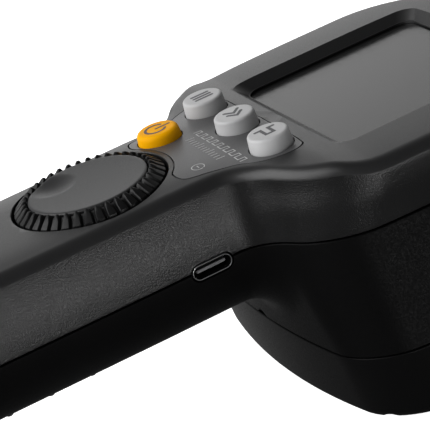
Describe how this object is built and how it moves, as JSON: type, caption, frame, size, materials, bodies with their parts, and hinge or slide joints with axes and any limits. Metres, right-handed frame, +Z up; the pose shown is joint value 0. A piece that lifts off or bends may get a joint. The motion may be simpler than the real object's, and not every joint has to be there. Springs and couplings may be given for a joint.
{
  "type": "handheld LED stroboscope",
  "caption": "Handheld LED stroboscope: a straight battery handle with a jog wheel, a wide head with keys and a display, and a downward-facing lamp.",
  "frame": {"origin": "middle of the bounding box's underside, in the plane of the lamp rim's base", "axes": "+Y from the handle towards the lamp head, +Z up out of the face with the display, +X to the side with the charging socket"},
  "size_m": [0.0918, 0.197, 0.0605],
  "materials": {
    "upper_shell": "fine-grained matt dark grey ABS",
    "lower_shell": "fine-grained matt black ABS",
    "lamp_rim": "satin black ABS",
    "wheel_rim": "satin black, toothed",
    "wheel_cap": "smooth satin dark grey",
    "key_grey": "satin light grey",
    "key_orange": "satin orange",
    "label_film": "satin dark grey film",
    "display_window": "clear, grey behind",
    "lamp_lens": "clear",
    "gasket": "soft black",
    "reflector": "metallised",
    "board_green": "solder-masked board",
    "board_white": "white board",
    "led": "yellow phosphor dome",
    "heat_sink": "extruded",
    "steel": "plated",
    "inner_plastic": "black moulding",
    "cell_wrap": "shrink sleeve",
    "wire_red": "insulated lead",
    "wire_black": "insulated lead"
  },
  "bodies": {
    "housing": {"battery_cell": "cell_wrap", "battery_cradle": "inner_plastic", "battery_lead_black": "wire_black", "battery_lead_red": "wire_red", "centre_switch": "inner_plastic", "charge_board": "board_green", "display_gasket": "gasket", "display_window": "display_window", "encoder_body": "inner_plastic", "heat_sink": "heat_sink", "housing_screw_1": "steel", "housing_screw_2": "steel", "keypad_board": "board_green", "keypad_label": "label_film", "lamp_lens": "lamp_lens", "lamp_rim": "lamp_rim", "lcd_module": "inner_plastic", "led_1": "led", "led_2": "led", "led_3": "led", "led_4": "led", "led_5": "led", "led_6": "led", "led_7": "led", "led_8": "led", "led_9": "led", "led_board": "board_white", "led_lead_black": "wire_black", "led_lead_red": "wire_red", "left_switch": "inner_plastic", "lens_gasket": "gasket", "lower_shell": "lower_shell", "main_board": "board_green", "power_switch": "inner_plastic", "reflector_array": "reflector", "right_switch": "inner_plastic", "rim_screw_1": "steel", "rim_screw_2": "steel", "rim_screw_3": "steel", "rim_screw_4": "steel", "upper_shell": "upper_shell", "usb_shell": "steel", "usb_tongue": "inner_plastic"},
    "jog_wheel": {"wheel_rim": "wheel_rim", "wheel_cap": "wheel_cap", "encoder_shaft": "steel"},
    "power_key": {"power_button": "key_orange"},
    "left_key": {"left_button": "key_grey"},
    "centre_key": {"centre_button": "key_grey"},
    "right_key": {"right_button": "key_grey"}
  },
  "joints": [
    {"name": "jog_wheel_turn", "type": "hinge", "parent": "housing", "child": "jog_wheel", "pos_m": [0, -0.0065, 0.0584], "axis": [0, 0, 1], "continuous": true},
    {"name": "power_key_press", "type": "slide", "parent": "housing", "child": "power_key", "axis": [0, 0, -1], "range_m": [0, 0.0006], "stiffness_N_per_m": 600},
    {"name": "left_key_press", "type": "slide", "parent": "housing", "child": "left_key", "axis": [0, 0, -1], "range_m": [0, 0.0006], "stiffness_N_per_m": 600},
    {"name": "centre_key_press", "type": "slide", "parent": "housing", "child": "centre_key", "axis": [0, 0, -1], "range_m": [0, 0.0006], "stiffness_N_per_m": 600},
    {"name": "right_key_press", "type": "slide", "parent": "housing", "child": "right_key", "axis": [0, 0, -1], "range_m": [0, 0.0006], "stiffness_N_per_m": 600}
  ]
}
